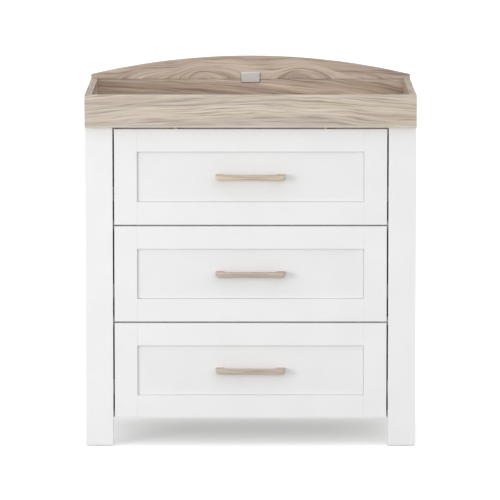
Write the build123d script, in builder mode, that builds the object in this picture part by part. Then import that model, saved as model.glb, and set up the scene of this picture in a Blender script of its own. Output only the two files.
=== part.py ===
"""Changing table: a white chest of three drawers on four legs, with a raised oak tray on top.

Millimetres. +X is to the right seen from the front, +Y to the back and +Z up. The origin is on the
floor, in the middle of the footprint of the whole table, handles included.
"""
import os
from math import radians, tan

from build123d import *

os.makedirs("parts", exist_ok=True)

# Carcass: legs, side panels, base, back and cross rails
carcass_width = 860.0
carcass_depth = 500.0
foot_clearance = 74.5       # floor to the lower edge of the lowest drawer front
leg_width = 71.5
leg_depth = 36.0
side_thickness = 18.0
side_inset = 2.0            # outer face of the legs to the outer face of the side panels
side_recess = 6.0           # depth that is routed out of the side panels
side_stile = 30.0           # flat border of that recess beside each leg
side_rail = 60.0            # flat border above and below the recess
base_thickness = 16.0
back_thickness = 5.0
back_inset = 6.0            # back of the rear legs to the back panel
rebate_width = 12.0         # step in the rear legs and rear rail that the back panel lies in
back_play = 0.5             # room around the back panel in its rebate
rear_rail_height = 80.0
rear_rail_thickness = 18.0
wall_hole_spacing = 500.0   # holes for the two screws that hold the table to a wall
wall_hole_diameter = 5.5
cross_rail_height = 22.0
cross_rail_depth = 50.0
stop_gap = 1.5              # closed drawer fronts to the cross rails behind them
bearer_height = 40.0
glide_diameter = 24.0
glide_height = 2.0
glide_stem_diameter = 6.0
glide_stem_length = 12.0

# Tray on top
tray_front_overhang = 22.0  # front of the legs to the front of the tray
tray_thickness = 18.0
tray_rail_height = 84.5
top_thickness = 18.0
back_step = 10.0            # ends of the arched back board above the side rails
arch_rise = 50.0
plate_width = 52.0
plate_height = 28.5
plate_thickness = 4.0
plate_corner = 4.0
plate_edge = 2.5
plate_drop = 43.5           # crown of the arch to the upper edge of the name plate

# Drawer fronts: two stiles, two rails and a panel in their grooves
drawer_levels = ("bottom", "middle", "top")
front_height = 250.0
front_thickness = 20.0
front_gap = 4.0
top_gap = 6.0               # upper edge of the highest front to the underside of the tray
front_setback = 1.0         # front of the legs to the front of the drawer fronts
frame_width = 59.5
panel_recess = 6.0
panel_thickness = 9.0
groove_depth = 8.0
groove_play = 0.5
quirk_width = 0.9           # fine groove in the panel along the edge of its visible field
quirk_depth = 2.5

# Handles: one bridge of oak on each front
handle_hole_spacing = 160.0
post_width = 22.0
handle_taper = 4.5          # each end is this much further in at the front than at the panel
handle_height = 14.0
handle_reach = 33.0
grip_thickness = 13.0
handle_outer_round = 4.0
handle_inner_round = 6.0
handle_edge = 2.0
handle_screw_diameter = 4.0
handle_screw_grip = 15.0    # depth of the screw in the handle
handle_screw_head_diameter = 8.0
handle_screw_head_height = 2.5

# Drawer boxes
box_wall = 12.0
box_lift = 28.0             # lower edge of the front to the lower edge of the box
box_top_room = 50.0         # upper edge of the box to the upper edge of the front
box_back_room = 33.0        # back of the box to the rear rail
floor_thickness = 5.0
floor_lift = 10.0           # lower edge of the box to the underside of its floor
floor_groove = 6.0
floor_play = 0.3
cam_diameter = 12.0
cam_length = 10.0
cam_setback = 24.0          # back of the front to the middle of each cam
cam_inset = 26.0            # upper or lower edge of the box to the middle of each cam
cam_bolt_diameter = 5.0
cam_bolt_grip = 10.0        # depth of the cam bolt in the front
corner_screw_length = 30.0
corner_screw_inset = 20.0   # upper edge of the box to its upper corner screw
corner_screw_pitch = 60.0

# Ball runners: a channel on the carcass, a rail on the drawer and a ball cage between them
runner_thickness = 12.7
runner_height = 35.0
runner_steel = 1.2
runner_flange = 10.0
runner_lift = 50.0          # lower edge of the box to the middle of the runner
runner_end_room = 5.0
runner_overlap = 120.0      # what stays engaged when the drawer is fully open
runner_screw_inset = 25.0
ball_diameter = 5.0
ball_clearance = 0.15
ball_pitch = 22.0
cage_steel = 0.8
cage_gap = 0.35             # web of the channel to the web of the cage
cage_end_room = 5.0

# Dowels and screws
dowel_diameter = 6.0
dowel_length = 30.0
dowel_end_room = 0.5
tray_dowel_spacing = 300.0
panel_dowel_inset = 45.0
base_dowel_spacing = 300.0
rail_dowel_spacing = 40.0
screw_diameter = 3.5
screw_head_diameter = 7.0
screw_head_angle = 82.0
screw_length = 16.0
runner_screw_length = 11.0
screw_tip = 3.0
back_screw_spacing = 220.0
back_screw_rows = 4
back_screw_columns = 3
fit = 0.05                  # radial room around dowels, screws and stems

# Eased edges
paint_edge = 0.8
oak_edge = 1.2
glide_edge = 0.5

# Places that follow from the sizes above
carcass_half = carcass_width / 2
front_pitch = front_height + front_gap
carcass_height = foot_clearance + len(drawer_levels) * front_pitch - front_gap + top_gap
tray_height = carcass_height + tray_rail_height
arch_height = tray_height + back_step + arch_rise
front_reach = max(handle_reach - panel_recess - front_setback, tray_front_overhang)
leg_front = (front_reach - carcass_depth) / 2
leg_back = leg_front + carcass_depth
legs_between = (leg_front + leg_depth, leg_back - leg_depth)
leg_inner = carcass_half - leg_width
leg_middle = carcass_half - leg_width / 2
side_outer = carcass_half - side_inset
side_inner = side_outer - side_thickness
back_face = leg_back - back_inset
back_front = back_face - back_thickness
rear_rail_bottom = carcass_height - rear_rail_height
back_top = rear_rail_bottom + rebate_width
front_face = leg_front + front_setback
front_back = front_face + front_thickness
panel_face = front_face + panel_recess
panel_back = panel_face + panel_thickness
front_half = leg_inner - front_gap
opening_half = front_half - frame_width
tray_front = leg_front - tray_front_overhang
tray_inside = (tray_front + tray_thickness, leg_back - tray_thickness)
tray_inner = carcass_half - tray_thickness
box_half = leg_inner - runner_thickness
box_inner = box_half - box_wall
box_height = front_height - box_lift - box_top_room
box_back = leg_back - rear_rail_thickness - box_back_room
runner_span = (front_back + runner_end_room, box_back - runner_end_room)
runner_middle = (runner_span[0] + runner_span[1]) / 2
cross_rail_front = front_back + stop_gap
head_depth = (screw_head_diameter - screw_diameter) / 2 / tan(radians(screw_head_angle / 2))
ball_height = runner_height / 2 - runner_steel - ball_clearance - ball_diameter / 2
rail_half_height = ball_height - ball_diameter / 2 - ball_clearance

# Turns that lay a dowel or a screw's axis, or a hole's outward direction, along an axis
along_x = (0, 90, 0)
along_minus_x = (0, -90, 0)
along_y = (-90, 0, 0)


def save(piece, name):
    """Label a finished piece and write it."""
    piece.part.label = name
    export_step(piece.part, f"parts/{name}.step")


def on_side(side, near, far):
    """X limits between two distances from the middle, on the left (-1) or the right (1)."""
    return sorted((side * near, side * far))


def around(middle, size):
    """Limits of a size about its middle."""
    return (middle - size / 2, middle + size / 2)


def block(x, y, z, mode=Mode.ADD):
    """A straight-sided block between two limits on each axis."""
    with Locations(((x[0] + x[1]) / 2, (y[0] + y[1]) / 2, (z[0] + z[1]) / 2)):
        Box(x[1] - x[0], y[1] - y[0], z[1] - z[0], mode=mode)


def dowel_holes(places):
    """Holes for the dowels at these places, with a little room around and beyond each dowel."""
    with Locations(*places):
        Cylinder(dowel_diameter / 2 + fit, dowel_length + 2 * dowel_end_room, mode=Mode.SUBTRACT)


def screw_holes(places, length):
    """Countersunk holes for the screws whose heads end flush at these places."""
    with Locations(*places):
        CounterSinkHole(screw_diameter / 2 + fit, screw_head_diameter / 2 + fit, length + fit,
                        screw_head_angle)


def countersunk_screw(length):
    """A pointed countersunk screw along Z, its flat head at the origin."""
    with BuildPart() as screw:
        with BuildSketch(Plane.XZ):
            with BuildLine():
                Polyline((0, 0), (screw_head_diameter / 2, 0), (screw_diameter / 2, -head_depth),
                         (screw_diameter / 2, screw_tip - length), (0, -length), close=True)
            make_face()
        revolve(axis=Axis.Z)
    return screw.part


# Where the dowels and screws of the carcass sit
tray_dowels = [Location((side * leg_middle, tray_inside[0], carcass_height + top_thickness / 2), along_y)
               for side in (-1, 1)]
tray_dowels += [Location((side * (carcass_half + tray_inner) / 2, tray_inside[0],
                          tray_height - (tray_rail_height - top_thickness) / 2), along_y)
                for side in (-1, 1)]
tray_dowels += [Location((side * leg_middle, leg_back - tray_thickness / 2, carcass_height))
                for side in (-1, 1)]
side_rail_middle = (max(side_inner, tray_inner) + side_outer) / 2
tray_dowels += [Location((side * side_rail_middle, y, carcass_height))
                for side in (-1, 1)
                for y in around(sum(legs_between) / 2, tray_dowel_spacing)]
panel_dowels = [Location((side * (side_outer + side_inner) / 2, y, z), along_y)
                for side in (-1, 1)
                for y in legs_between
                for z in (foot_clearance + panel_dowel_inset, carcass_height - panel_dowel_inset)]
base_dowels = [Location((side * side_inner, y, foot_clearance + base_thickness / 2), along_x)
               for side in (-1, 1)
               for y in around(sum(legs_between) / 2, base_dowel_spacing)]
rear_rail_dowels = [Location((side * leg_inner, leg_back - rear_rail_thickness / 2, z), along_x)
                    for side in (-1, 1)
                    for z in around(carcass_height - rear_rail_height / 2, rail_dowel_spacing)]
cross_rail_heights = [foot_clearance + level * front_pitch - front_gap / 2
                      for level in range(1, len(drawer_levels))]
cross_rail_heights.append(carcass_height - cross_rail_height / 2)
cross_rail_dowels = [Location((side * leg_inner, (cross_rail_front + legs_between[0]) / 2, z), along_x)
                     for side in (-1, 1)
                     for z in cross_rail_heights]
carcass_dowels = tray_dowels + panel_dowels + base_dowels + rear_rail_dowels + cross_rail_dowels

leg_screw_heights = [foot_clearance + (back_top - foot_clearance) * (row + 0.5) / back_screw_rows
                     for row in range(back_screw_rows)]
back_screws = [Location((side * (leg_inner + rebate_width / 2), back_face, z), along_y)
               for side in (-1, 1)
               for z in leg_screw_heights]
back_screws += [Location(((column - (back_screw_columns - 1) / 2) * back_screw_spacing, back_face, z),
                         along_y)
                for column in range(back_screw_columns)
                for z in (foot_clearance + base_thickness / 2, rear_rail_bottom + rebate_width / 2)]

box_bottoms = [foot_clearance + index * front_pitch + box_lift
               for index in range(len(drawer_levels))]
runner_screw_ends = (runner_span[0] + runner_screw_inset, runner_span[1] - runner_screw_inset)
channel_screws = [Location((side * (leg_inner - runner_steel), y, bottom + runner_lift),
                           along_minus_x if side > 0 else along_x)
                  for side in (-1, 1)
                  for y in runner_screw_ends
                  for bottom in box_bottoms]


def leg(name, side, y, rebated):
    """A square-edged leg post; the rear ones have a rebate for the back panel."""
    with BuildPart() as post:
        block(on_side(side, leg_inner, carcass_half), y, (glide_height, carcass_height))
        fillet(post.edges(), paint_edge)
        if rebated:
            block(on_side(side, leg_inner - back_play, leg_inner + rebate_width),
                  (back_front, leg_back), (foot_clearance, back_top), Mode.SUBTRACT)
            screw_holes(back_screws, screw_length)
        dowel_holes(carcass_dowels)
        with Locations((side * leg_middle, sum(y) / 2, glide_height)):
            Cylinder(glide_stem_diameter / 2 + fit, 2 * (glide_stem_length + dowel_end_room),
                     mode=Mode.SUBTRACT)
    save(post, name)


def side_panel(name, side):
    """A side panel between two legs, with a shallow recess routed into its outer face."""
    with BuildPart() as panel:
        block(on_side(side, side_inner, side_outer), legs_between, (foot_clearance, carcass_height))
        fillet(panel.faces().sort_by(Axis.X)[0 if side < 0 else -1].edges(), paint_edge)
        block(on_side(side, side_outer - side_recess, side_outer),
              (legs_between[0] + side_stile, legs_between[1] - side_stile),
              (foot_clearance + side_rail, carcass_height - side_rail), Mode.SUBTRACT)
        dowel_holes(carcass_dowels)
    save(panel, name)


def tray_board(name, x, y, z):
    """An oak board of the tray with eased edges."""
    with BuildPart() as board:
        block(x, y, z)
        fillet(board.edges(), oak_edge)
        dowel_holes(tray_dowels)
    save(board, name)


# Legs and side panels
front_leg_depth = (leg_front, legs_between[0])
rear_leg_depth = (legs_between[1], leg_back)
for side, word in ((-1, "left"), (1, "right")):
    leg(f"{word}_front_leg", side, front_leg_depth, False)
    leg(f"{word}_rear_leg", side, rear_leg_depth, True)
    side_panel(f"{word}_side_panel", side)

# Base board between the side panels, notched around the four legs
with BuildPart() as base_board:
    base_z = (foot_clearance, foot_clearance + base_thickness)
    block((-side_inner, side_inner), legs_between, base_z)
    block((-leg_inner, leg_inner), (cross_rail_front, back_front), base_z)
    dowel_holes(base_dowels)
    screw_holes(back_screws, screw_length)
save(base_board, "base_board")

# Rear rail between the rear legs, with the two holes for screws into a wall
with BuildPart() as rear_rail:
    block((-leg_inner, leg_inner), (leg_back - rear_rail_thickness, leg_back),
          (rear_rail_bottom, carcass_height))
    block((-leg_inner, leg_inner), (back_front, leg_back), (rear_rail_bottom, back_top), Mode.SUBTRACT)
    dowel_holes(rear_rail_dowels)
    screw_holes(back_screws, screw_length)
    with Locations(*[Location((x, leg_back, carcass_height - rear_rail_height / 2), along_y)
                     for x in around(0, wall_hole_spacing)]):
        Hole(wall_hole_diameter / 2, rear_rail_thickness)
save(rear_rail, "rear_rail")

# Thin back panel, screwed into the rebates from behind
with BuildPart() as back_panel:
    back_reach = leg_inner + rebate_width - back_play
    block((-back_reach, back_reach), (back_front, back_face), (foot_clearance, back_top - back_play))
    screw_holes(back_screws, screw_length)
save(back_panel, "back_panel")

# Cross rails behind the gaps between the drawer fronts and under the top
with BuildPart() as cross_rails:
    for height in cross_rail_heights:
        block((-leg_inner, leg_inner), (cross_rail_front, cross_rail_front + cross_rail_depth),
              around(height, cross_rail_height))
    dowel_holes(cross_rail_dowels)
save(cross_rails, "cross_rails")

# Battens between the legs that bring the runners in line with the legs' inner faces
with BuildPart() as runner_bearers:
    for side in (-1, 1):
        for bottom in box_bottoms:
            block(on_side(side, leg_inner, side_inner), legs_between,
                  around(bottom + runner_lift, bearer_height))
    screw_holes(channel_screws, runner_screw_length)
save(runner_bearers, "runner_bearers")

# Glides under the legs: a disc with a stem that is pressed up into the leg
with BuildPart() as foot_glides:
    leg_centres = [(side * leg_middle, sum(y) / 2)
                   for side in (-1, 1)
                   for y in (front_leg_depth, rear_leg_depth)]
    with BuildSketch():
        with Locations(*leg_centres):
            Circle(glide_diameter / 2)
    extrude(amount=glide_height)
    fillet(foot_glides.edges().group_by(Axis.Z)[0], glide_edge)
    with BuildSketch(Plane.XY.offset(glide_height)):
        with Locations(*leg_centres):
            Circle(glide_stem_diameter / 2)
    extrude(amount=glide_stem_length)
save(foot_glides, "foot_glides")

# Tray: floor, front rail, side rails and arched back board
with BuildPart() as top_board:
    block((-tray_inner, tray_inner), tray_inside, (carcass_height, carcass_height + top_thickness))
    dowel_holes(tray_dowels)
save(top_board, "top_board")

tray_z = (carcass_height, tray_height)
tray_board("tray_front_rail", (-carcass_half, carcass_half), (tray_front, tray_inside[0]), tray_z)
tray_board("tray_left_rail", (-carcass_half, -tray_inner), tray_inside, tray_z)
tray_board("tray_right_rail", (tray_inner, carcass_half), tray_inside, tray_z)

with BuildPart() as tray_back_board:
    with BuildSketch(Plane.XZ.offset(-leg_back)):
        with BuildLine():
            shoulder = arch_height - arch_rise
            Polyline((-carcass_half, shoulder), (-carcass_half, carcass_height),
                     (carcass_half, carcass_height), (carcass_half, shoulder))
            ThreePointArc((-carcass_half, shoulder), (0, arch_height), (carcass_half, shoulder))
        make_face()
    extrude(amount=tray_thickness)
    fillet(tray_back_board.edges(), oak_edge)
    dowel_holes(tray_dowels)
save(tray_back_board, "tray_back_board")

# Bare metal name plate on the back board, with round corners and a well rounded front edge
with BuildPart() as name_plate:
    plate_middle = arch_height - plate_drop - plate_height / 2
    with BuildSketch(Plane.XZ.offset(-tray_inside[1])):
        with Locations((0, plate_middle)):
            RectangleRounded(plate_width, plate_height, plate_corner)
    extrude(amount=plate_thickness)
    fillet(name_plate.faces().sort_by(Axis.Y)[0].edges(), plate_edge)
save(name_plate, "name_plate")

# Dowels and screws of the carcass
with BuildPart() as dowels:
    with Locations(*carcass_dowels):
        Cylinder(dowel_diameter / 2, dowel_length)
save(dowels, "dowels")

back_screw = countersunk_screw(screw_length)
runner_screw = countersunk_screw(runner_screw_length)
with BuildPart() as carcass_screws:
    with Locations(*back_screws):
        add(back_screw)
    with Locations(*channel_screws):
        add(runner_screw)
save(carcass_screws, "carcass_screws")


def folded_strip(side, web, tip, half_height, steel, y, middle):
    """A C-shaped strip of sheet steel: an upright web and two flanges from it towards the tip."""
    web_back = web + steel if tip > web else web - steel
    block(on_side(side, web, web_back), y, around(middle, 2 * half_height))
    for edge in (-1, 1):
        outer = middle + edge * half_height
        block(on_side(side, web, tip), y, sorted((outer, outer - edge * steel)))


# Runner channels on the bearers
with BuildPart() as runner_channels:
    for side in (-1, 1):
        for bottom in box_bottoms:
            folded_strip(side, leg_inner, leg_inner - runner_flange, runner_height / 2, runner_steel,
                         runner_span, bottom + runner_lift)
    screw_holes(channel_screws, runner_screw_length)
save(runner_channels, "runner_channels")


def drawer_front(level, bottom):
    """Two full-height stiles, two rails tenoned between them and a quirked panel in their grooves."""
    top = bottom + front_height
    thickness = (front_face, front_back)
    groove = (panel_face, panel_back)
    bolt_places = cam_bolt_places(bottom + box_lift)
    for side, word in ((-1, "left"), (1, "right")):
        with BuildPart() as stile:
            block(on_side(side, opening_half, front_half), thickness, (bottom, top))
            fillet(stile.faces().sort_by(Axis.Y)[0].edges(), paint_edge)
            block(on_side(side, opening_half, opening_half + groove_depth), groove, (bottom, top),
                  Mode.SUBTRACT)
            with Locations(*bolt_places):
                Cylinder(cam_bolt_diameter / 2 + fit, 2 * (cam_bolt_grip + dowel_end_room),
                         mode=Mode.SUBTRACT)
        save(stile, f"{level}_drawer_{word}_stile")
    tenon = opening_half + groove_depth - groove_play
    for word, outer, inner in (("bottom", bottom, bottom + frame_width), ("top", top, top - frame_width)):
        with BuildPart() as rail:
            block((-opening_half, opening_half), thickness, sorted((outer, inner)))
            fillet(rail.faces().sort_by(Axis.Y)[0].edges(), paint_edge)
            block((-tenon, tenon), groove, sorted((outer, inner)))
            groove_floor = inner + (groove_depth if outer > inner else -groove_depth)
            block((-tenon, tenon), groove, sorted((inner, groove_floor)), Mode.SUBTRACT)
        save(rail, f"{level}_drawer_{word}_rail")
    with BuildPart() as panel:
        margin = frame_width - groove_depth + groove_play
        block((-tenon, tenon), groove, (bottom + margin, top - margin))
        quirk = (panel_face, panel_face + quirk_depth)
        field_half = opening_half - quirk_width
        block((-opening_half, opening_half), quirk, (bottom + frame_width, top - frame_width), Mode.SUBTRACT)
        block((-field_half, field_half), quirk,
              (bottom + frame_width + quirk_width, top - frame_width - quirk_width))
        with Locations(*handle_screw_places(bottom)):
            Cylinder(handle_screw_diameter / 2 + fit, 2 * panel_thickness + fit, mode=Mode.SUBTRACT)
    save(panel, f"{level}_drawer_panel")


def handle_screw_places(bottom):
    """Where the handle's screws pass the back of the panel."""
    return [Location((x, panel_back, bottom + front_height / 2), along_y)
            for x in around(0, handle_hole_spacing)]


def cam_bolt_places(box_bottom):
    """Where the cam bolts leave the back of the front, in line with the sides of the box."""
    return [Location((side * (box_half - box_wall / 2), front_back, z), along_y)
            for side in (-1, 1)
            for z in (box_bottom + cam_inset, box_bottom + box_height - cam_inset)]


def cam_places(box_bottom):
    """Where the cams end flush with the inner faces of the sides."""
    return [Location((side * box_inner, front_back + cam_setback, z), along_x)
            for side in (-1, 1)
            for z in (box_bottom + cam_inset, box_bottom + box_height - cam_inset)]


def corner_screw_places(box_bottom):
    """Where the corner screws end flush with the outer faces of the sides."""
    upper = box_bottom + box_height - corner_screw_inset
    return [Location((side * box_half, box_back - box_wall / 2, z), along_x if side > 0 else along_minus_x)
            for side in (-1, 1)
            for z in (upper, upper - corner_screw_pitch)]


def rail_screw_places(box_bottom):
    """Where the runner rails' screws end flush with the rails' webs."""
    return [Location((side * (box_half + runner_steel), y, box_bottom + runner_lift),
                     along_x if side > 0 else along_minus_x)
            for side in (-1, 1)
            for y in runner_screw_ends]


def drawer_handle(level, bottom):
    """A bridge of oak: a grip on two posts, with ends that lean in towards the front."""
    base_half = (handle_hole_spacing + post_width) / 2
    inner_half = base_half - post_width
    grip_back = panel_face - handle_reach + grip_thickness
    inner_lean = handle_taper * (handle_reach - grip_thickness) / handle_reach
    middle = bottom + front_height / 2
    with BuildPart() as handle:
        with BuildSketch(Plane.XY.offset(middle - handle_height / 2)) as outline:
            with BuildLine():
                Polyline((-base_half, panel_face),
                         (handle_taper - base_half, panel_face - handle_reach),
                         (base_half - handle_taper, panel_face - handle_reach),
                         (base_half, panel_face),
                         (inner_half, panel_face),
                         (inner_half - inner_lean, grip_back),
                         (inner_lean - inner_half, grip_back),
                         (-inner_half, panel_face), close=True)
            make_face()
            corners = outline.vertices().group_by(Axis.Y)
            fillet(corners[0], handle_outer_round)
            fillet(outline.vertices().group_by(Axis.Y)[-2], handle_inner_round)
        extrude(amount=handle_height)
        rims = handle.faces().filter_by(Axis.Z).edges()
        fillet(rims.filter_by(lambda edge: edge.center().Y < panel_face - fit), handle_edge)
        with Locations(*[Location((x, panel_face, middle), along_y)
                         for x in around(0, handle_hole_spacing)]):
            Hole(handle_screw_diameter / 2 + fit, handle_screw_grip + dowel_end_room)
    save(handle, f"{level}_drawer_handle")


def drawer_box(level, box_bottom):
    """Two sides and a back around a thin floor that lies in a groove of the sides."""
    box_top = box_bottom + box_height
    floor_z = (box_bottom + floor_lift, box_bottom + floor_lift + floor_thickness)
    back_y = (box_back - box_wall, box_back)
    for side, word in ((-1, "left"), (1, "right")):
        with BuildPart() as wall:
            block(on_side(side, box_inner, box_half), (front_back, box_back), (box_bottom, box_top))
            fillet(wall.edges().filter_by(Axis.Y).group_by(Axis.Z)[-1], paint_edge)
            block(on_side(side, box_inner, box_inner + floor_groove), (front_back, box_back), floor_z,
                  Mode.SUBTRACT)
            with Locations(*cam_bolt_places(box_bottom)):
                Cylinder(cam_bolt_diameter / 2 + fit, 2 * cam_setback, mode=Mode.SUBTRACT)
            with Locations(*cam_places(box_bottom)):
                Cylinder(cam_diameter / 2 + fit, 2 * (cam_length + fit), mode=Mode.SUBTRACT)
            screw_holes(corner_screw_places(box_bottom), corner_screw_length)
            screw_holes(rail_screw_places(box_bottom), runner_screw_length)
        save(wall, f"{level}_drawer_{word}_side")
    with BuildPart() as back:
        block((-box_inner, box_inner), back_y, (floor_z[1], box_top))
        fillet(back.edges().filter_by(Axis.X).group_by(Axis.Z)[-1], paint_edge)
        screw_holes(corner_screw_places(box_bottom), corner_screw_length)
    save(back, f"{level}_drawer_back")
    with BuildPart() as floor:
        floor_half = box_inner + floor_groove - floor_play
        block((-floor_half, floor_half), (front_back + floor_play, box_back), floor_z)
    save(floor, f"{level}_drawer_floor")


def drawer_fixings(level, bottom):
    """The drawer's handle screws, cams, cam bolts, corner screws and runner screws."""
    box_bottom = bottom + box_lift
    shank = panel_thickness + handle_screw_grip
    with BuildPart() as handle_screw:
        with BuildSketch(Plane.XZ):
            with BuildLine():
                Polyline((0, handle_screw_head_height),
                         (handle_screw_head_diameter / 2, handle_screw_head_height),
                         (handle_screw_head_diameter / 2, 0), (handle_screw_diameter / 2, 0),
                         (handle_screw_diameter / 2, -shank), (0, -shank), close=True)
            make_face()
        revolve(axis=Axis.Z)
    bolt_length = cam_bolt_grip + cam_setback - cam_diameter / 2 - 2 * fit
    corner_screw = countersunk_screw(corner_screw_length)
    with BuildPart() as fixings:
        with Locations(*handle_screw_places(bottom)):
            add(handle_screw.part)
        with Locations(*cam_bolt_places(box_bottom)):
            with Locations((0, 0, bolt_length / 2 - cam_bolt_grip)):
                Cylinder(cam_bolt_diameter / 2, bolt_length)
        for place in cam_places(box_bottom):
            with Locations(place):
                with Locations((0, 0, cam_length / 2 if place.position.X > 0 else -cam_length / 2)):
                    Cylinder(cam_diameter / 2, cam_length)
        with Locations(*corner_screw_places(box_bottom)):
            add(corner_screw)
        with Locations(*rail_screw_places(box_bottom)):
            add(runner_screw)
    save(fixings, f"{level}_drawer_fixings")


def drawer_runners(level, box_bottom):
    """The runner rails on the sides of the box, and the ball cages between rails and channels."""
    middle = box_bottom + runner_lift
    with BuildPart() as rails:
        for side in (-1, 1):
            folded_strip(side, box_half, box_half + runner_flange, rail_half_height, runner_steel,
                         runner_span, middle)
        screw_holes(rail_screw_places(box_bottom), runner_screw_length)
    save(rails, f"{level}_drawer_runner_rails")

    cage_length = runner_overlap - 2 * cage_end_room
    cage_web = leg_inner - runner_steel - cage_gap
    balls_in_row = int(cage_length // ball_pitch)
    ball_line = leg_inner - runner_thickness / 2
    row = [runner_middle + (index - (balls_in_row - 1) / 2) * ball_pitch for index in range(balls_in_row)]
    with BuildPart() as cages:
        for side in (-1, 1):
            folded_strip(side, cage_web, leg_inner - runner_flange, ball_height + cage_steel / 2, cage_steel,
                         around(runner_middle, cage_length), middle)
        columns = [(side * ball_line, y, middle) for side in (-1, 1) for y in row]
        with Locations(*columns):
            Cylinder(ball_diameter / 2 + ball_clearance, runner_height, mode=Mode.SUBTRACT)
        with Locations(*columns):
            with Locations((0, 0, ball_height), (0, 0, -ball_height)):
                Sphere(ball_diameter / 2)
    save(cages, f"{level}_drawer_ball_cages")


# The three drawers
for index, level in enumerate(drawer_levels):
    front_bottom = foot_clearance + index * front_pitch
    drawer_front(level, front_bottom)
    drawer_handle(level, front_bottom)
    drawer_box(level, box_bottoms[index])
    drawer_fixings(level, front_bottom)
    drawer_runners(level, box_bottoms[index])
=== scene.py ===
"""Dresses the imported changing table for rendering, piece by piece as it is put together.

Metres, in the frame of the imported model: +X right seen from the front, +Y to the back, +Z up.
"""
import math

import bpy
import numpy as np
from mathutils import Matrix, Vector


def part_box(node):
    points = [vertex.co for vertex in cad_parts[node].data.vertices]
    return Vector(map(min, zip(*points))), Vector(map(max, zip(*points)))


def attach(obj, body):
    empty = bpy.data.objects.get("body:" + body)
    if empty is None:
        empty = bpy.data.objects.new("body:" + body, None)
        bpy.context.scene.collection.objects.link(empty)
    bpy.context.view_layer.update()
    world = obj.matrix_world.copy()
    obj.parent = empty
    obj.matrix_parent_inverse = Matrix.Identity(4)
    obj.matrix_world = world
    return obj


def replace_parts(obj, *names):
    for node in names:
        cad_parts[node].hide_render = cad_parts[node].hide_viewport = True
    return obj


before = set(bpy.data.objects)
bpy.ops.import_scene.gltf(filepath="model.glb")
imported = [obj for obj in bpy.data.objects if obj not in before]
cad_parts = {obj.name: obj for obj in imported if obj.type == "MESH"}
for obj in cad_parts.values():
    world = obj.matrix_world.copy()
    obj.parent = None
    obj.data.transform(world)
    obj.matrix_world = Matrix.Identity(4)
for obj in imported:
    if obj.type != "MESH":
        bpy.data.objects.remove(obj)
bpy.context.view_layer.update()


# Legs, side panels, rear rail and cross rails: planed MDF, doweled and glued.
# They are sprayed with satin white lacquer, which leaves a faint orange peel and softly eased edges.

def linear(code):
    """Turn a colour's sRGB hex code into linear red, green and blue, with alpha."""
    value = np.array([int(code[at:at + 2], 16) for at in (1, 3, 5)]) / 255
    value = np.where(value <= 0.04045, value / 12.92, ((value + 0.055) / 1.055) ** 2.4)
    return (*value.tolist(), 1.0)


def add(tree, kind, links=None, stops=None, **settings):
    """Add a node with its settings.

    links gives its sockets their values or other nodes' outputs, and stops gives a ramp its colours.
    """
    made = tree.nodes.new(kind)
    for name, value in settings.items():
        setattr(made, name, value)
    for socket, value in (links or {}).items():
        if isinstance(value, bpy.types.NodeSocket):
            tree.links.new(value, made.inputs[socket])
        else:
            made.inputs[socket].default_value = value
    if stops:
        elements = made.color_ramp.elements
        while len(elements) < len(stops):
            elements.new(1.0)
        for element, (place, code) in zip(elements, stops):
            element.position = place
            element.color = linear(code)
    return made


def new_finish(name, **same_all_over):
    """A material with its node tree and shader; sockets that are the same all over are set on the shader."""
    material = bpy.data.materials.new(name)
    material.use_nodes = True
    tree = material.node_tree
    shader = tree.nodes["Principled BSDF"]
    for socket, value in same_all_over.items():
        shader.inputs[socket.replace("_", " ")].default_value = value
    return material, tree, shader


def give(material, *names):
    """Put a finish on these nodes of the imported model."""
    for name in names:
        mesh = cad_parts[name].data
        mesh.materials.clear()
        mesh.materials.append(material)


# Noise mostly stays between these two values.
low, high = 0.3, 0.7
noise_range = {"From Min": low, "From Max": high}


def sprayed_lacquer(name, darker, lighter):
    """Satin lacquer: an even white with a soft, low gloss.

    Orange peel is really about 1 mm across; it is drawn 4 mm wide so that it shows. The film's tone and gloss
    drift, from darker to lighter, in clouds a hand's breadth across.
    """
    peel_width, cloud_width = 0.004, 0.09
    material, tree, shader = new_finish(name, IOR=1.5)
    place = add(tree, "ShaderNodeTexCoord").outputs["Object"]
    peel = add(tree, "ShaderNodeTexNoise",
               {"Vector": place, "Scale": 1 / peel_width, "Detail": 2.0}).outputs["Fac"]
    cloud = add(tree, "ShaderNodeTexNoise",
                {"Vector": place, "Scale": 1 / cloud_width, "Detail": 3.0}).outputs["Fac"]
    tone = add(tree, "ShaderNodeValToRGB", {"Fac": cloud}, stops=[(low, darker), (high, lighter)])
    gloss = add(tree, "ShaderNodeMapRange", {"Value": cloud, **noise_range, "To Min": 0.36, "To Max": 0.46})
    bump = add(tree, "ShaderNodeBump", {"Height": peel, "Strength": 0.06, "Distance": 0.0004})
    tree.links.new(tone.outputs["Color"], shader.inputs["Base Color"])
    tree.links.new(gloss.outputs["Result"], shader.inputs["Roughness"])
    tree.links.new(bump.outputs["Normal"], shader.inputs["Normal"])
    return material


give(sprayed_lacquer("sprayed_white_lacquer_on_mdf", "#EEEEEE", "#F1F1F1"),
     "left_front_leg", "right_front_leg", "left_rear_leg", "right_rear_leg",
     "left_side_panel", "right_side_panel", "rear_rail", "cross_rails")


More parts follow.
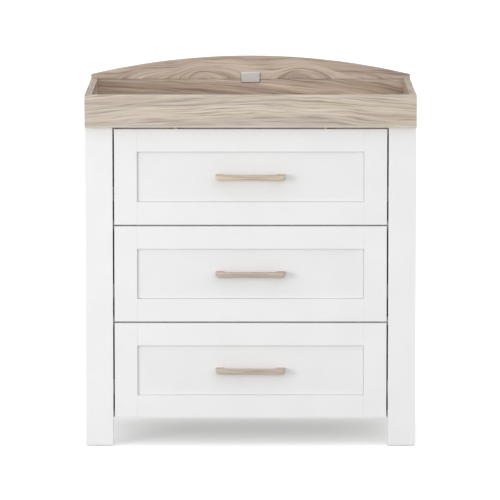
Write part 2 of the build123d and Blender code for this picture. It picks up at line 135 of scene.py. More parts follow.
# Base board: chipboard faced with white melamine, with a fine pearled surface that was pressed into it.
# The walls of the drawer boxes are cut from the same board. The pearls blur its sheen.
pearl_width, cloud_width = 0.003, 0.15
melamine, tree, shader = new_finish("pressed_white_melamine_on_chipboard", IOR=1.52)
place = add(tree, "ShaderNodeTexCoord").outputs["Object"]
pearl = add(tree, "ShaderNodeTexVoronoi", {"Vector": place, "Scale": 1 / pearl_width},
            feature="SMOOTH_F1").outputs["Distance"]
cloud = add(tree, "ShaderNodeTexNoise",
            {"Vector": place, "Scale": 1 / cloud_width, "Detail": 2.0}).outputs["Fac"]
tone = add(tree, "ShaderNodeValToRGB", {"Fac": cloud}, stops=[(low, "#E9E9E6"), (high, "#EEEEEB")])
gloss = add(tree, "ShaderNodeMapRange", {"Value": pearl, "To Min": 0.32, "To Max": 0.5})
bump = add(tree, "ShaderNodeBump", {"Height": pearl, "Strength": 0.08, "Distance": 0.0004})
tree.links.new(tone.outputs["Color"], shader.inputs["Base Color"])
tree.links.new(gloss.outputs["Result"], shader.inputs["Roughness"])
tree.links.new(bump.outputs["Normal"], shader.inputs["Normal"])
give(melamine, "base_board")


# Back panel: thin hardboard with a printed white foil, laid into the rebates and screwed from behind.
# The drawer floors are the same sheet. The foil is dull and follows the pressed fibres under it.
fibre_length = 0.006
hardboard, tree, shader = new_finish("white_foil_on_hardboard", IOR=1.48)
place = add(tree, "ShaderNodeTexCoord").outputs["Object"]
fibre = add(tree, "ShaderNodeTexNoise",
            {"Vector": place, "Scale": 1 / fibre_length, "Detail": 4.0, "Roughness": 0.65}).outputs["Fac"]
tone = add(tree, "ShaderNodeValToRGB", {"Fac": fibre}, stops=[(low, "#E4E4E1"), (high, "#E9E9E6")])
gloss = add(tree, "ShaderNodeMapRange", {"Value": fibre, **noise_range, "To Min": 0.5, "To Max": 0.62})
bump = add(tree, "ShaderNodeBump", {"Height": fibre, "Strength": 0.1, "Distance": 0.0005})
tree.links.new(tone.outputs["Color"], shader.inputs["Base Color"])
tree.links.new(gloss.outputs["Result"], shader.inputs["Roughness"])
tree.links.new(bump.outputs["Normal"], shader.inputs["Normal"])
give(hardboard, "back_panel")


# Runner bearers: planed pine battens, fixed between the front and rear legs to carry the runners.
# The pine is left raw, so it is matt and yellow, with soft growth rings along its length.
ring_width, ring_length = 0.006, 0.18
pine, tree, shader = new_finish("planed_raw_pine", IOR=1.45, Roughness=0.62)
place = add(tree, "ShaderNodeTexCoord").outputs["Object"]
stretched = add(tree, "ShaderNodeMapping",
                {"Vector": place, "Scale": (1 / ring_width, 1 / ring_length, 1 / ring_width)}).outputs["Vector"]
rings = add(tree, "ShaderNodeTexNoise",
            {"Vector": stretched, "Scale": 1.0, "Detail": 4.0, "Distortion": 0.6}).outputs["Fac"]
tone = add(tree, "ShaderNodeValToRGB", {"Fac": rings},
           stops=[(low, "#C79F68"), (0.5, "#DDBF8C"), (high, "#E8D0A2")])
bump = add(tree, "ShaderNodeBump", {"Height": rings, "Strength": 0.15, "Distance": 0.0004})
tree.links.new(tone.outputs["Color"], shader.inputs["Base Color"])
tree.links.new(bump.outputs["Normal"], shader.inputs["Normal"])
give(pine, "runner_bearers")


# Runner channels: folded strip steel, bright zinc plated, screwed to the bearers. The rails and ball cages
# on the drawers are of the same strip. Rolling left fine lines along it, drawn 2 mm wide so that they show.
line_width, line_length = 0.002, 0.06
strip_zinc, tree, shader = new_finish("zinc_plated_strip_steel", Metallic=1.0)
place = add(tree, "ShaderNodeTexCoord").outputs["Object"]
rolled = add(tree, "ShaderNodeMapping",
             {"Vector": place, "Scale": (1 / line_width, 1 / line_length, 1 / line_width)}).outputs["Vector"]
lines = add(tree, "ShaderNodeTexNoise", {"Vector": rolled, "Scale": 1.0, "Detail": 3.0}).outputs["Fac"]
tone = add(tree, "ShaderNodeValToRGB", {"Fac": lines}, stops=[(low, "#BFC2C4"), (high, "#D2D4D5")])
gloss = add(tree, "ShaderNodeMapRange", {"Value": lines, **noise_range, "To Min": 0.28, "To Max": 0.42})
tree.links.new(tone.outputs["Color"], shader.inputs["Base Color"])
tree.links.new(gloss.outputs["Result"], shader.inputs["Roughness"])
give(strip_zinc, "runner_channels")


# Screws of the carcass: countersunk steel screws with a cross recess, zinc plated. They hold the back panel
# to the rear legs, base and rear rail, and the channels to the bearers, with their heads flush.

def turned(places, driven, profile, arm, flank, recess):
    """Fasteners turned about an axis through each place, with a cross recess in the head: points and faces.

    The profile gives the radius and depth of each ring, from the rim of the head to the tip, and depths run in
    the driven direction. The recess's outline is at each angle the nearer of the cross's arm ends and flanks,
    and its floor is the same outline drawn in to half. Rings join by quads, and both ends are closed.
    """
    corner = math.atan2(flank, arm)
    quarter = np.array([-corner, 0.0, corner, math.pi / 6, math.pi / 4, math.pi / 3])
    turn = np.add.outer(np.arange(4) * math.pi / 2, quarter).ravel()
    near, far = np.sort(np.abs([np.cos(turn), np.sin(turn)]), axis=0)
    cross = np.minimum(arm / far, flank / np.maximum(near, 1e-6))
    radius = np.vstack([cross / 2, cross, *(np.full(turn.size, wide) for wide, _ in profile)])
    depth = np.array([recess + profile[0][1], profile[0][1], *(deep for _, deep in profile)])
    driven = np.array(driven, float)
    up = np.roll(driven, 1)
    beside = np.cross(driven, up)
    rings = (radius * np.cos(turn))[..., None] * up + (radius * np.sin(turn))[..., None] * beside
    rings = rings + depth[:, None, None] * driven
    points = np.array(places, float)[:, None, None, :] + rings
    index = np.arange(points[..., 0].size).reshape(points.shape[:3])
    after = np.roll(index, -1, axis=2)
    quads = np.stack([index[:, :-1], after[:, :-1], after[:, 1:], index[:, 1:]], axis=-1).reshape(-1, 4)
    return points.reshape(-1, 3), (quads, index[:, 0, ::-1], index[:, -1])


def new_piece(name, shapes, material, body):
    """Join shapes, each points and groups of faces, into one new piece that rides on a body."""
    starts = np.cumsum([0] + [len(points) for points, _ in shapes])
    faces = []
    for (_, groups), start in zip(shapes, starts):
        for group in groups:
            faces += (group + start).tolist()
    mesh = bpy.data.meshes.new(name)
    mesh.from_pydata(np.vstack([points for points, _ in shapes]).tolist(), [], faces)
    mesh.materials.append(material)
    piece = bpy.data.objects.new(name, mesh)
    bpy.context.scene.collection.objects.link(piece)
    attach(piece, body)
    return piece


def countersunk(length):
    """The profile of a countersunk screw 3.5 mm thick with a head 7 mm across, pointed over its last 3 mm."""
    return [(0.0035, 0.0), (0.00175, 0.002), (0.00175, length - 0.003), (0.0002, length)]


# Barrel-plated zinc is bright and a little cloudy, which blurs its reflections unevenly.
cloud_width = 0.0015
plated, tree, shader = new_finish("barrel_plated_zinc_on_turned_steel", Metallic=1.0)
place = add(tree, "ShaderNodeTexCoord").outputs["Object"]
cloud = add(tree, "ShaderNodeTexNoise",
            {"Vector": place, "Scale": 1 / cloud_width, "Detail": 3.0}).outputs["Fac"]
tone = add(tree, "ShaderNodeValToRGB", {"Fac": cloud}, stops=[(low, "#B9BCC0"), (high, "#D6D8D9")])
gloss = add(tree, "ShaderNodeMapRange", {"Value": cloud, **noise_range, "To Min": 0.22, "To Max": 0.4})
tree.links.new(tone.outputs["Color"], shader.inputs["Base Color"])
tree.links.new(gloss.outputs["Result"], shader.inputs["Roughness"])

small_cross = {"arm": 0.0019, "flank": 0.00045, "recess": 0.0015}
back_screw_length, runner_screw_length = 0.016, 0.011
back_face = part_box("back_panel")[1][1]
back_low, back_high = 0.0745, 0.7705                # lower and upper edge of the back panel
leg_rows = 4
leg_heights = back_low + (back_high - back_low) * (np.arange(leg_rows) + 0.5) / leg_rows
board_heights = (back_low + 0.008, back_high - 0.006)       # the rows in the base board and in the rear rail
leg_column, board_column = 0.3645, 0.22             # widths from the middle of the table, as the next one is
channel_web = 0.3573
runner_heights = (0.1525, 0.4065, 0.6605)
runner_ends = (-0.186, 0.182)                       # the front and the rear screw of each runner
back_places = [(x, back_face, z) for x in (-leg_column, leg_column) for z in leg_heights]
back_places += [(x, back_face, z) for x in (-board_column, 0.0, board_column) for z in board_heights]
carcass_screws = [turned(back_places, (0, -1, 0), countersunk(back_screw_length), **small_cross)]
for side in (-1, 1):
    channel_places = [(side * channel_web, y, z) for y in runner_ends for z in runner_heights]
    carcass_screws.append(
        turned(channel_places, (side, 0, 0), countersunk(runner_screw_length), **small_cross))
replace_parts(new_piece("cross_head_carcass_screws", carcass_screws, plated, "carcass"),
            "carcass_screws")


# Glides: moulded nylon discs with a stem that is pushed into a leg from below.
# Moulded nylon is milky, with a soft sheen and a faintly uneven skin.
skin_width = 0.002
nylon, tree, shader = new_finish("moulded_white_nylon", IOR=1.53, Roughness=0.48)
place = add(tree, "ShaderNodeTexCoord").outputs["Object"]
skin = add(tree, "ShaderNodeTexNoise",
           {"Vector": place, "Scale": 1 / skin_width, "Detail": 3.0}).outputs["Fac"]
tone = add(tree, "ShaderNodeValToRGB", {"Fac": skin}, stops=[(low, "#DEDED9"), (high, "#E6E6E1")])
bump = add(tree, "ShaderNodeBump", {"Height": skin, "Strength": 0.1, "Distance": 0.0002})
tree.links.new(tone.outputs["Color"], shader.inputs["Base Color"])
tree.links.new(bump.outputs["Normal"], shader.inputs["Normal"])
give(nylon, "foot_glides")


# Dowels: fluted beech pins, glued half into each of the two boards that they join.
# Raw beech is matt and pinkish, with short dark flecks.
fleck_width = 0.0025
beech, tree, shader = new_finish("fluted_raw_beech", IOR=1.45, Roughness=0.65)
place = add(tree, "ShaderNodeTexCoord").outputs["Object"]
fleck = add(tree, "ShaderNodeTexVoronoi", {"Vector": place, "Scale": 1 / fleck_width}).outputs["Distance"]
tone = add(tree, "ShaderNodeValToRGB", {"Fac": fleck},
           stops=[(0.1, "#B98C63"), (0.3, "#D8B48C"), (0.8, "#E2C29C")])
tree.links.new(tone.outputs["Color"], shader.inputs["Base Color"])
give(beech, "dowels")


# Tray: floor, front rail, two side rails and arched back board, doweled together on top of the carcass.
# They are boards wrapped in a matt foil with a printed, greyed oak figure along their length.

def oak_figure(name, across, colours, middle=0.0, bow=0.0, seed=0.0, seam=None, jump=0.0, slant=0.0,
               crowns=(), crown_height=0.0, streaks=(), edge=None):
    """Matt, greyed oak. Along the piece is X + Y; across it is Z on upright faces, and X or Y on flat ones.

    The level of the figure is the place across, plus bow times the square of the distance along from the
    middle. Below a seam, slant times that distance is added. Above it the level jumps, and crown_share of the
    way its height over the seam becomes the root of that height squared plus a lift squared. The lift is
    crown_height, and falls to nothing in a bell curve round each crown, so that lines of one level stand over
    the crowns as nested arches; the back of the board has none. Noise bends the level, and stretched noise of
    the bent level gives bands, fine lines, pores, a grey wash, a faint change of hue and veins. Each of streaks
    is a darker line: its level, half width, place along and half length. The seam is a dark line, and the piece
    is paler along a lower edge.
    """
    wash_grey, streak_brown, lower_painted_shade_tint, edge_tone = "#DDD9DA", "#DAD2CB", "#FBF8F6", "#E0D6C8"
    flat_from, back_from = 0.7, 0.5         # parts of the normal at which a face counts as flat or as the back
    crown_skew, crown_share = 0.3, 0.9      # the skew lets the arches reach further to the right
    ramp_start, ramp_width = 0.36, 0.28
    multiplied = {"data_type": "RGBA", "blend_type": "MULTIPLY"}
    material, tree, shader = new_finish(name, IOR=1.46)
    coordinates = add(tree, "ShaderNodeTexCoord")
    at = add(tree, "ShaderNodeSeparateXYZ", {0: coordinates.outputs["Object"]})
    facing = add(tree, "ShaderNodeSeparateXYZ", {0: coordinates.outputs["Normal"]})
    tilt = add(tree, "ShaderNodeMath", {0: facing.outputs["Z"]}, operation="ABSOLUTE").outputs[0]
    flat = add(tree, "ShaderNodeMath", {0: tilt, 1: flat_from}, operation="GREATER_THAN").outputs[0]
    width = add(tree, "ShaderNodeMix", {0: flat, 2: at.outputs["Z"], 3: at.outputs[across]}).outputs[0]
    along = add(tree, "ShaderNodeMath", {0: at.outputs["X"], 1: at.outputs["Y"]}, operation="ADD").outputs[0]
    along = add(tree, "ShaderNodeMath", {0: along, 1: middle}, operation="SUBTRACT").outputs[0]
    square = add(tree, "ShaderNodeMath", {0: along, 1: along}, operation="MULTIPLY").outputs[0]
    level = add(tree, "ShaderNodeMath", {0: square, 1: bow, 2: width}, operation="MULTIPLY_ADD").outputs[0]

    if seam:
        above = add(tree, "ShaderNodeMath", {0: width, 1: seam}, operation="SUBTRACT").outputs[0]
        upper = add(tree, "ShaderNodeMath", {0: above, 1: 0.0}, operation="GREATER_THAN").outputs[0]
        lower = add(tree, "ShaderNodeMath", {0: 1.0, 1: upper}, operation="SUBTRACT").outputs[0]
        arched = add(tree, "ShaderNodeMath", {0: facing.outputs["Y"], 1: back_from},
                     operation="LESS_THAN").outputs[0]
        arched = add(tree, "ShaderNodeMath", {0: arched, 1: upper}, operation="MULTIPLY").outputs[0]
        lift = add(tree, "ShaderNodeMath", {0: arched, 1: crown_height ** 2}, operation="MULTIPLY").outputs[0]
        for x, half in crowns:
            off = add(tree, "ShaderNodeMath", {0: along, 1: x}, operation="SUBTRACT").outputs[0]
            side = add(tree, "ShaderNodeMath", {0: off}, operation="SIGN").outputs[0]
            scale = add(tree, "ShaderNodeMath", {0: side, 1: -crown_skew / half, 2: 1 / half},
                        operation="MULTIPLY_ADD").outputs[0]
            off = add(tree, "ShaderNodeMath", {0: off, 1: scale}, operation="MULTIPLY").outputs[0]
            off = add(tree, "ShaderNodeMath", {0: off, 1: off}, operation="MULTIPLY").outputs[0]
            off = add(tree, "ShaderNodeMath", {0: off, 1: -1.0}, operation="MULTIPLY").outputs[0]
            bell = add(tree, "ShaderNodeMath", {0: off}, operation="EXPONENT").outputs[0]
            kept = add(tree, "ShaderNodeMath", {0: bell, 1: -1.0, 2: 1.0}, operation="MULTIPLY_ADD").outputs[0]
            lift = add(tree, "ShaderNodeMath", {0: lift, 1: kept}, operation="MULTIPLY").outputs[0]
        arch = add(tree, "ShaderNodeMath", {0: above, 1: above, 2: lift}, operation="MULTIPLY_ADD").outputs[0]
        arch = add(tree, "ShaderNodeMath", {0: arch}, operation="SQRT").outputs[0]
        rise = add(tree, "ShaderNodeMath", {0: arch, 1: above}, operation="SUBTRACT").outputs[0]
        rise = add(tree, "ShaderNodeMath", {0: rise, 1: arched}, operation="MULTIPLY").outputs[0]
        level = add(tree, "ShaderNodeMath", {0: rise, 1: crown_share, 2: level},
                    operation="MULTIPLY_ADD").outputs[0]
        level = add(tree, "ShaderNodeMath", {0: upper, 1: jump, 2: level}, operation="MULTIPLY_ADD").outputs[0]
        slanted = add(tree, "ShaderNodeMath", {0: along, 1: lower}, operation="MULTIPLY").outputs[0]
        level = add(tree, "ShaderNodeMath", {0: slanted, 1: slant, 2: level},
                    operation="MULTIPLY_ADD").outputs[0]

    # Two slow noises, each with its length along, its spacing across and its reach, bend the level.
    grain = level
    for length, spacing, reach in ((0.16, 0.04, 0.009), (0.06, 0.014, 0.003)):
        sheet = add(tree, "ShaderNodeCombineXYZ", {"X": along, "Y": level, "Z": seed}).outputs[0]
        slow = add(tree, "ShaderNodeMapping",
                   {"Vector": sheet, "Scale": (1 / length, 1 / spacing, 1.0)}).outputs["Vector"]
        sway = add(tree, "ShaderNodeTexNoise", {"Vector": slow, "Scale": 1.0, "Detail": 1.0}).outputs["Fac"]
        bend = add(tree, "ShaderNodeMapRange",
                   {"Value": sway, "To Min": -reach, "To Max": reach}).outputs["Result"]
        grain = add(tree, "ShaderNodeMath", {0: grain, 1: bend}, operation="ADD").outputs[0]

    # The figure's noises, each with its length along, its spacing across and its detail. The threads of pores
    # are really less than 1 mm apart; they are drawn 2.6 mm apart so that they show.
    layers = ((0.7, 0.02, 1.0), (0.35, 0.006, 4.0), (0.12, 0.0026, 3.0),
              (0.6, 0.01, 2.0), (0.5, 0.03, 1.0), (0.25, 0.016, 2.0))
    shift = 3.7                             # so that no two of them follow each other
    figure = add(tree, "ShaderNodeCombineXYZ", {"X": along, "Y": grain, "Z": seed}).outputs[0]
    noises = []
    for length, spacing, detail in layers:
        stretch = add(tree, "ShaderNodeMapping", {
            "Vector": figure, "Scale": (1 / length, 1 / spacing, 1.0),
            "Location": (len(noises) * shift, 0.0, 0.0)}).outputs["Vector"]
        noises.append(add(tree, "ShaderNodeTexNoise",
                          {"Vector": stretch, "Scale": 1.0, "Detail": detail}).outputs["Fac"])
    bands, fine, threads, rings, wash, hue = noises

    mixed = add(tree, "ShaderNodeMix", {0: 0.55, 2: bands, 3: fine}).outputs[0]
    spread = ramp_width / (len(colours) - 1)
    wood = add(tree, "ShaderNodeValToRGB", {"Fac": mixed},
               stops=[(ramp_start + spread * n, code) for n, code in enumerate(colours)]).outputs["Color"]
    pores = add(tree, "ShaderNodeValToRGB", {"Fac": threads},
                stops=[(0.33, "#C3BDB7"), (0.47, "#F2F0EE"), (0.6, "#FFFFFF")]).outputs["Color"]
    wood = add(tree, "ShaderNodeMix", {0: 1.0, 6: wood, 7: pores}, **multiplied).outputs[2]
    greyed = add(tree, "ShaderNodeMapRange",
                 {"Value": wash, "From Min": 0.48, "From Max": 0.68, "To Max": 0.6}).outputs["Result"]
    wood = add(tree, "ShaderNodeMix", {0: greyed, 6: wood, 7: linear(wash_grey)}, **multiplied).outputs[2]
    tint = add(tree, "ShaderNodeValToRGB", {"Fac": hue},
               stops=[(0.38, "#FFFFF9"), (0.62, "#FDFBFE")]).outputs["Color"]
    wood = add(tree, "ShaderNodeMix", {0: 1.0, 6: wood, 7: tint}, **multiplied).outputs[2]
    off = add(tree, "ShaderNodeMath", {0: rings, 1: 0.5}, operation="SUBTRACT").outputs[0]
    off = add(tree, "ShaderNodeMath", {0: off}, operation="ABSOLUTE").outputs[0]
    vein = add(tree, "ShaderNodeMapRange",
               {"Value": off, "From Max": 0.025, "To Min": 1.4, "To Max": 0.0}).outputs["Result"]
    vein = add(tree, "ShaderNodeMath", {0: vein, 1: fine}, operation="MULTIPLY").outputs[0]
    wood = add(tree, "ShaderNodeMix", {0: vein, 6: wood, 7: linear(colours[0])}, data_type="RGBA").outputs[2]

    for height, half, x, reach in streaks:
        off = add(tree, "ShaderNodeMath", {0: grain, 1: height}, operation="SUBTRACT").outputs[0]
        off = add(tree, "ShaderNodeMath", {0: off}, operation="ABSOLUTE").outputs[0]
        line = add(tree, "ShaderNodeMapRange",
                   {"Value": off, "From Max": half, "To Min": 0.75, "To Max": 0.0}).outputs["Result"]
        gone = add(tree, "ShaderNodeMath", {0: along, 1: x}, operation="SUBTRACT").outputs[0]
        gone = add(tree, "ShaderNodeMath", {0: gone}, operation="ABSOLUTE").outputs[0]
        fade = add(tree, "ShaderNodeMapRange", {
            "Value": gone, "From Min": 0.4 * reach, "From Max": reach,
            "To Min": 1.0, "To Max": 0.0}).outputs["Result"]
        line = add(tree, "ShaderNodeMath", {0: line, 1: fade}, operation="MULTIPLY").outputs[0]
        wood = add(tree, "ShaderNodeMix", {0: line, 6: wood, 7: linear(streak_brown)}, **multiplied).outputs[2]
    if seam:
        # Below the seam the board is tinted a touch darker: painted shade that falls inside the tray behind the
        # rails.
        wood = add(tree, "ShaderNodeMix", {0: lower, 6: wood, 7: linear(lower_painted_shade_tint)}, **multiplied).outputs[2]
        off = add(tree, "ShaderNodeMath", {0: above}, operation="ABSOLUTE").outputs[0]
        line = add(tree, "ShaderNodeMapRange", {
            "Value": off, "From Min": 0.0006, "From Max": 0.0026,
            "To Min": 0.8, "To Max": 0.0}).outputs["Result"]
        wood = add(tree, "ShaderNodeMix", {0: line, 6: wood, 7: linear(streak_brown)}, **multiplied).outputs[2]
    if edge:
        pale = add(tree, "ShaderNodeMapRange", {
            "Value": at.outputs["Z"], "From Min": edge + 0.002, "From Max": edge + 0.005,
            "To Min": 0.6, "To Max": 0.0}).outputs["Result"]
        wood = add(tree, "ShaderNodeMix", {0: pale, 6: wood, 7: linear(edge_tone)}, data_type="RGBA").outputs[2]

    gloss = add(tree, "ShaderNodeMapRange",
                {"Value": fine, **noise_range, "To Min": 0.64, "To Max": 0.5}).outputs["Result"]
    bump = add(tree, "ShaderNodeBump",
               {"Height": threads, "Strength": 0.12, "Distance": 0.0004}).outputs["Normal"]
    tree.links.new(wood, shader.inputs["Base Color"])
    tree.links.new(gloss, shader.inputs["Roughness"])
    tree.links.new(bump, shader.inputs["Normal"])
    return material


# The front rail's palette is the foil's own tone. The side rails' and the back board's are darker copies of it:
# painted shade on the side rails' tops and on the back board inside the tray. The floor takes the back board's
# darker copy too.
rail_oak = ("#C2B6A8", "#CEC2B3", "#D5CABC", "#DCD2C5")
side_oak_painted_shade = ("#988A7D", "#B9AB9C", "#C5B7A7", "#D0C3B4")
board_oak_painted_shade = ("#AC9C90", "#C8B9AB", "#D2C3B5", "#DCCEC0")
rail_face, board_face = -0.259, 0.245       # front faces of the front rail and the back board
rail_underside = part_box("tray_front_rail")[0][2]
give(oak_figure("oak_foil_front_rail", "Y", rail_oak, middle=rail_face, bow=0.11, seed=13.6,
                streaks=((0.903, 0.002, -0.2, 0.28), (0.885, 0.004, 0.36, 0.18)), edge=rail_underside),
     "tray_front_rail")
give(oak_figure("oak_foil_side_rails", "X", side_oak_painted_shade, seed=4.1), "tray_left_rail", "tray_right_rail")
give(oak_figure("oak_foil_floor", "Y", board_oak_painted_shade, seed=7.7), "top_board")

# The back board's print shows two boards, one above the other, and the upper one has two arches.
board_seam, board_jump = 0.9205, 0.41
arch_level = board_seam + board_jump
board_streaks = ((0.8835, 0.004, -0.29, 0.12),
                 (arch_level + 0.0175, 0.005, -0.16, 0.06), (arch_level + 0.0218, 0.003, -0.055, 0.05),
                 (arch_level + 0.0215, 0.006, 0.085, 0.06), (arch_level + 0.026, 0.004, 0.205, 0.05))
give(oak_figure("oak_foil_back_board", "Y", board_oak_painted_shade, middle=board_face, bow=0.08, seed=23.3,
                seam=board_seam, jump=board_jump, slant=0.1,
                crowns=((-0.132, 0.07), (0.128, 0.07)), crown_height=0.034, streaks=board_streaks),
     "tray_back_board")


# Name plate: a bare die-cast zinc plate with rounded edges, brushed along its length, pinned to the back board.
# Its rounded edges facing the sides and down are painted dark grey: painted shade and a painted dark
# reflection.
# Strokes of the brush are about 0.1 mm wide; they are drawn 0.8 mm wide so that they show.
stroke_length, stroke_width = 0.03, 0.0008
plate, tree, shader = new_finish("brushed_die_cast_zinc", Metallic=1.0)
coordinates = add(tree, "ShaderNodeTexCoord")
brush = add(tree, "ShaderNodeMapping", {
    "Vector": coordinates.outputs["Object"],
    "Scale": (1 / stroke_length, 1 / stroke_width, 1 / stroke_width)}).outputs["Vector"]
lines = add(tree, "ShaderNodeTexNoise", {"Vector": brush, "Scale": 1.0, "Detail": 3.0}).outputs["Fac"]
tone = add(tree, "ShaderNodeValToRGB", {"Fac": lines},
           stops=[(low, "#D2D2D3"), (high, "#E8E8E9")]).outputs["Color"]
facing = add(tree, "ShaderNodeSeparateXYZ", {0: coordinates.outputs["Normal"]})
sideways = add(tree, "ShaderNodeMath", {0: facing.outputs["X"]}, operation="ABSOLUTE").outputs[0]
facing_sides_and_down = add(tree, "ShaderNodeMath", {0: sideways, 1: facing.outputs["Z"]}, operation="SUBTRACT").outputs[0]
painted_edge_shade = add(tree, "ShaderNodeMapRange",
            {"Value": facing_sides_and_down, "From Min": 0.1, "From Max": 0.7}).outputs["Result"]
tone = add(tree, "ShaderNodeMix", {0: painted_edge_shade, 6: tone, 7: linear("#7A7773")}, data_type="RGBA").outputs[2]
gloss = add(tree, "ShaderNodeMapRange", {"Value": lines, **noise_range, "To Min": 0.3, "To Max": 0.45})
bump = add(tree, "ShaderNodeBump", {"Height": lines, "Strength": 0.1, "Distance": 0.0002})
tree.links.new(tone, shader.inputs["Base Color"])
tree.links.new(gloss.outputs["Result"], shader.inputs["Roughness"])
tree.links.new(bump.outputs["Normal"], shader.inputs["Normal"])
give(plate, "name_plate")


# Bumpers: two small cream nylon buttons, pushed up into the underside of the front rail above the top drawer.
# They keep the drawer's front from knocking against the tray. Moulding left them matt and faintly cloudy.
skin_width = 0.0012
buffer_nylon, tree, shader = new_finish("moulded_cream_nylon", IOR=1.53, Roughness=0.55)
place = add(tree, "ShaderNodeTexCoord").outputs["Object"]
skin = add(tree, "ShaderNodeTexNoise",
           {"Vector": place, "Scale": 1 / skin_width, "Detail": 4.0}).outputs["Fac"]
tone = add(tree, "ShaderNodeValToRGB", {"Fac": skin}, stops=[(low, "#D2C8BA"), (high, "#E8E1D6")])
bump = add(tree, "ShaderNodeBump", {"Height": skin, "Strength": 0.2, "Distance": 0.0002})
tree.links.new(tone.outputs["Color"], shader.inputs["Base Color"])
tree.links.new(bump.outputs["Normal"], shader.inputs["Normal"])
button_height, button_flat, button_depth, button_half = 0.0054, 0.003, -0.2285, 0.195
button = [(0.0052, 0.0), (0.0062, 0.0004), (0.0065, 0.0012), (0.0065, button_height)]
button_places = [(x, button_depth, rail_underside - button_height) for x in (-button_half, button_half)]
buttons = turned(button_places, (0, 0, 1), button, arm=button_flat, flank=button_flat, recess=0.0)
new_piece("nylon_bumpers", [buttons], buffer_nylon, "carcass")


# Drawers: a front of lacquered MDF, framed round a panel, with an oak handle screwed on from behind.
# The box is melamine board with a hardboard floor, held to the front by cams, and hangs on steel runners.
# The frames and the panels take copies of the legs' white lacquer made darker, the frames a touch and the
# panels more: painted shade on the drawer fronts, deepest in the recessed panels.
frame_lacquer_painted_shade = sprayed_lacquer("white_lacquer_with_painted_shade_on_frames", "#EDEDED", "#F0F0F0")
panel_lacquer_painted_shade = sprayed_lacquer("white_lacquer_with_painted_shade_on_panels", "#EAEAEA", "#EDEDED")
handle_oak = {"top": ("#B9A794", "#D3C3AF", "#E0D2BD", "#E8DCC9"),
              "middle": ("#A8998D", "#C1B4A8", "#CFC3B6", "#DBD1C4"),
              "bottom": ("#B1A295", "#C9BCAE", "#D5C9BB", "#E2D7C8")}

# Fasteners: the radius and depth of each ring, then the places of their heads. Heights are above the lower
# edge of the front or of the box, and widths are from the middle of the table.
head_height = 0.0025
pan_head = [(0.0026, 0.0), (0.0036, 0.0005), (0.004, 0.0014), (0.004, head_height), (0.002, head_height),
            (0.002, 0.0264), (0.0002, 0.0265)]
cam_disc = [(0.0053, 0.0), (0.0058, 0.0002), (0.006, 0.0006), (0.006, 0.01), (0.0002, 0.01)]
bolt_rod = [(0.0025, 0.0), (0.0025, 0.0279), (0.0002, 0.0279)]
corner_screw_length = 0.03
panel_back, cam_depth, bolt_depth, corner_depth = -0.221, -0.192, -0.226, 0.206
handle_height, handle_half = 0.125, 0.08
box_inside, wall_middle, box_outside, rail_web = 0.3338, 0.3398, 0.3458, 0.347
cam_rows, corner_rows, rail_row = (0.026, 0.146), (0.092, 0.152), 0.05

for level in ("bottom", "middle", "top"):
    drawer = f"{level}_drawer_"
    give(frame_lacquer_painted_shade, *(drawer + piece for piece in ("left_stile", "right_stile", "top_rail", "bottom_rail")))
    give(panel_lacquer_painted_shade, drawer + "panel")
    give(oak_figure(f"oiled_oak_{level}_handle", "Y", handle_oak[level], seed=3.4), drawer + "handle")
    give(melamine, drawer + "left_side", drawer + "right_side", drawer + "back")
    give(hardboard, drawer + "floor")
    give(strip_zinc, drawer + "runner_rails", drawer + "ball_cages")
    front_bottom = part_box(drawer + "left_stile")[0][2]
    box_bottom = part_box(drawer + "left_side")[0][2]
    handle_places = [(x, panel_back + head_height, front_bottom + handle_height)
                     for x in (-handle_half, handle_half)]
    fixings = [turned(handle_places, (0, -1, 0), pan_head, arm=0.0021, flank=0.0005, recess=0.0014)]
    for side in (-1, 1):
        cam_places = [(side * box_inside, cam_depth, box_bottom + z) for z in cam_rows]
        bolt_places = [(side * wall_middle, bolt_depth, box_bottom + z) for z in cam_rows]
        corner_places = [(side * box_outside, corner_depth, box_bottom + z) for z in corner_rows]
        rail_places = [(side * rail_web, y, box_bottom + rail_row) for y in runner_ends]
        fixings += [turned(cam_places, (side, 0, 0), cam_disc, arm=0.0034, flank=0.0008, recess=0.0024),
                    turned(bolt_places, (0, 1, 0), bolt_rod, arm=0.001, flank=0.001, recess=0.0),
                    turned(corner_places, (-side, 0, 0), countersunk(corner_screw_length), **small_cross),
                    turned(rail_places, (-side, 0, 0), countersunk(runner_screw_length), **small_cross)]
    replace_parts(new_piece(f"{level}_drawer_screws_and_cams", fixings, plated, f"{level}_drawer"),
                drawer + "fixings")


# Stage: a floor of white studio paper that keeps the table's shadow, under a white sky.
# Two weak softboxes, on the left and on the right in front, give the uprights their light and dark sides.
floor_half = 80.0
corners = np.array([(-1, -1, 0), (1, -1, 0), (1, 1, 0), (-1, 1, 0)]) * floor_half
floor_mesh = bpy.data.meshes.new("floor")
floor_mesh.from_pydata(corners.tolist(), [], [(0, 1, 2, 3)])
floor = bpy.data.objects.new("floor", floor_mesh)
bpy.context.scene.collection.objects.link(floor)


def seen_directly(tree):
    """1 for what is seen straight, mirrored or through something clear, and 0 for light on other surfaces."""
    rays = add(tree, "ShaderNodeLightPath")
    seen = add(tree, "ShaderNodeMath", {0: rays.outputs["Is Camera Ray"], 1: rays.outputs["Is Glossy Ray"]},
               operation="MAXIMUM").outputs[0]
    return add(tree, "ShaderNodeMath", {0: seen, 1: rays.outputs["Is Transmission Ray"]},
               operation="MAXIMUM").outputs[0]


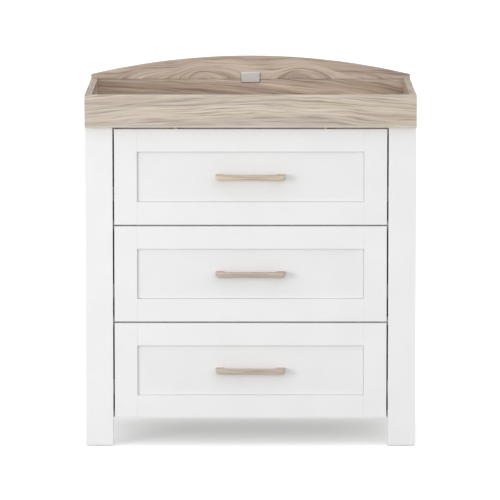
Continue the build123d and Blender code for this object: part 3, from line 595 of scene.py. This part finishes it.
# Paper of a middle tone throws little light back under the table. To the eye and in reflections it is white.
pure_white = (1, 1, 1, 1)
paper_glow = 0.33
paper, tree, shader = new_finish("white_studio_paper", Roughness=0.9, Specular_IOR_Level=0.0,
                                 Base_Color=linear("#BCBCBC"))
white = add(tree, "ShaderNodeBsdfDiffuse", {"Color": pure_white}).outputs[0]
glow = add(tree, "ShaderNodeEmission", {"Color": pure_white, "Strength": paper_glow}).outputs[0]
bright = add(tree, "ShaderNodeAddShader", {0: white, 1: glow}).outputs[0]
both = add(tree, "ShaderNodeMixShader", {0: seen_directly(tree), 1: shader.outputs[0], 2: bright}).outputs[0]
tree.links.new(both, tree.nodes["Material Output"].inputs["Surface"])
floor_mesh.materials.append(paper)

sky_light, sky_seen = 0.915, 1.0
world = bpy.data.worlds.new("white_sky")
bpy.context.scene.world = world
world.use_nodes = True
tree = world.node_tree
strength = add(tree, "ShaderNodeMapRange",
               {"Value": seen_directly(tree), "To Min": sky_light, "To Max": sky_seen}).outputs["Result"]
background = tree.nodes["Background"]
background.inputs["Color"].default_value = pure_white
tree.links.new(strength, background.inputs["Strength"])

lit_point = Vector((0.0, -0.25, 0.5))
for name, spot, width, power in (("left_softbox", (-4.4, -4.6, 1.25), 2.2, 118.0),
                                 ("right_softbox", (4.0, -7.0, 1.6), 4.0, 48.0)):
    lamp = bpy.data.lights.new(name, "AREA")
    lamp.shape = "RECTANGLE"
    lamp.size = width
    lamp.size_y = width
    lamp.energy = power
    softbox = bpy.data.objects.new(name, lamp)
    bpy.context.scene.collection.objects.link(softbox)
    softbox.location = spot
    softbox.rotation_euler = (lit_point - softbox.location).to_track_quat("-Z", "Y").to_euler()
    softbox.visible_camera = False


# Camera: a long lens 11.5 m in front of the tray, looking down by 7.2 degrees.
# From so far away the table's front is nearly flat, and only the tray's sides lead back.
looking_down = 7.215
lens = bpy.data.cameras.new("camera")
lens.sensor_width = 36.0
lens.lens = 321.44
lens.clip_end = 400.0
camera = bpy.data.objects.new("camera", lens)
bpy.context.scene.collection.objects.link(camera)
camera.location = (-0.00156, -11.7585, 1.9752)
camera.rotation_euler = (math.radians(90 - looking_down), 0.0, 0.0)
bpy.context.scene.camera = camera
bpy.context.scene.view_settings.view_transform = "Standard"
